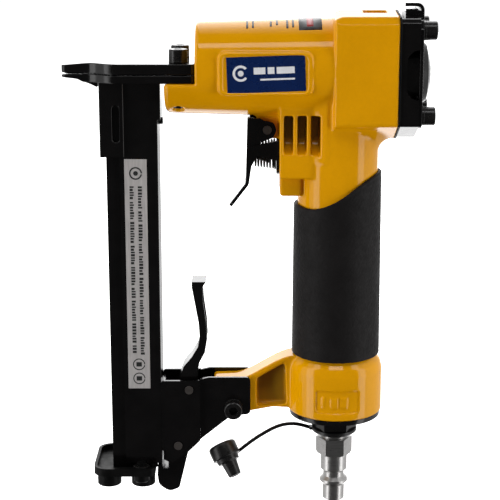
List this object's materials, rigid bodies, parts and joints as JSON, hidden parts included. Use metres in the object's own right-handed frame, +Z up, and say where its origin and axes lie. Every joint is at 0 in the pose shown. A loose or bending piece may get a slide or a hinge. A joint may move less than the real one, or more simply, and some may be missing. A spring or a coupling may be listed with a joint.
{
  "type": "pneumatic fine-crown nailer",
  "caption": "Handheld air nailer: die-cast body with barrel, head and rubber-sleeved grip, slide-out magazine, sprung trigger, latch lever and air plug.",
  "frame": {"origin": "centre of the fastener exit in the contact face of the nose", "axes": "+X back along the driver axis from the nose to the cylinder cap, +Z up so that the grip and the air plug hang towards -Z, +Y across the tool"},
  "size_m": [0.1689, 0.046, 0.2409],
  "materials": {
    "body_paint": "semi-gloss yellow powder coat on a die casting",
    "black_metal": "semi-gloss black oxide and lacquer on sheet and cast steel",
    "black_screws": "black oxide with a thin oil film",
    "bright_steel": "turned and ground steel",
    "spring_steel": "oiled spring wire",
    "cylinder_aluminium": "hard anodised aluminium",
    "moulded_plastic": "matte acetal",
    "seal_rubber": "nitrile rubber",
    "grip_rubber": "pebbled moulded rubber sleeve",
    "strap_rubber": "smooth flexible rubber",
    "plug_chrome": "nickel-plated steel",
    "pad_labels": "laminated label film"
  },
  "bodies": {
    "gun_body": {"housing": "body_paint", "cylinder_sleeve": "cylinder_aluminium", "sleeve_o_rings": "seal_rubber", "bumper": "seal_rubber", "head_valve_spring": "spring_steel", "cap_gasket": "seal_rubber", "cylinder_cap": "black_metal", "exhaust_deflector": "black_metal", "cap_lock_washers": "black_screws", "cap_bolts": "black_screws", "nose_cover": "black_metal", "driver_guide": "black_metal", "nose_lock_washers": "black_screws", "nose_screws": "black_screws", "magazine_channel": "black_metal", "magazine_front_sleeve": "black_metal", "magazine_bracket": "black_metal", "bracket_bolt": "black_screws", "bracket_nut": "black_screws", "bracket_washers": "black_screws", "latch_stop_pin": "black_screws", "latch_pivot_pin": "black_screws", "latch_spring": "spring_steel", "trigger_pin": "black_screws", "valve_body": "black_metal", "valve_o_rings": "seal_rubber", "valve_spring": "spring_steel", "grip_sleeve": "grip_rubber", "end_cap": "black_metal", "end_cap_seal": "seal_rubber", "dust_cap_ring": "strap_rubber", "air_plug": "plug_chrome", "dust_cap_strap": "strap_rubber", "dust_cap": "strap_rubber"},
    "piston_assembly": {"piston": "cylinder_aluminium", "piston_o_ring": "seal_rubber", "driver_blade": "bright_steel"},
    "head_valve": {"head_valve": "moulded_plastic", "head_valve_o_ring": "seal_rubber"},
    "trigger": {"trigger": "black_metal"},
    "valve_stem": {"valve_stem": "moulded_plastic"},
    "magazine_slide": {"slide_rail": "black_metal", "end_plate": "black_metal", "end_plate_washers": "black_screws", "end_plate_screws": "black_screws", "end_plate_nut": "black_screws", "pusher_rod": "bright_steel", "pusher_spring": "spring_steel"},
    "pusher": {"pusher": "moulded_plastic"},
    "latch": {"latch_lever": "black_metal"}
  },
  "joints": [
    {"name": "trigger_pull", "type": "hinge", "parent": "gun_body", "child": "trigger", "pos_m": [0.0936, 0, -0.0254], "axis": [0, -1, 0], "range_deg": [0, 9], "stiffness_Nm_per_rad": 1, "springref_deg": -5.73, "deforming": ["valve_spring"]},
    {"name": "valve_push", "type": "slide", "parent": "gun_body", "child": "valve_stem", "axis": [1, 0, 0], "range_m": [0, 0.0018]},
    {"name": "piston_stroke", "type": "slide", "parent": "gun_body", "child": "piston_assembly", "axis": [-1, 0, 0], "range_m": [0, 0.0415]},
    {"name": "head_valve_lift", "type": "slide", "parent": "gun_body", "child": "head_valve", "axis": [1, 0, 0], "range_m": [0, 0.003], "stiffness_N_per_m": 800, "springref_m": -0.004, "deforming": ["head_valve_spring"]},
    {"name": "magazine_travel", "type": "slide", "parent": "gun_body", "child": "magazine_slide", "axis": [0, 0, -1], "range_m": [0, 0.12]},
    {"name": "pusher_feed", "type": "slide", "parent": "magazine_slide", "child": "pusher", "axis": [0, 0, -1], "range_m": [0, 0.1], "stiffness_N_per_m": 15, "springref_m": -0.15, "deforming": ["pusher_spring"]},
    {"name": "latch_press", "type": "hinge", "parent": "gun_body", "child": "latch", "pos_m": [0.0512, 0, -0.178], "axis": [0, -1, 0], "range_deg": [0, 8], "stiffness_Nm_per_rad": 0.6, "springref_deg": -14.32}
  ],
  "couplings": [
    {"joint": "valve_push", "follows": "trigger_pull", "m_per_rad": 0.0111}
  ]
}
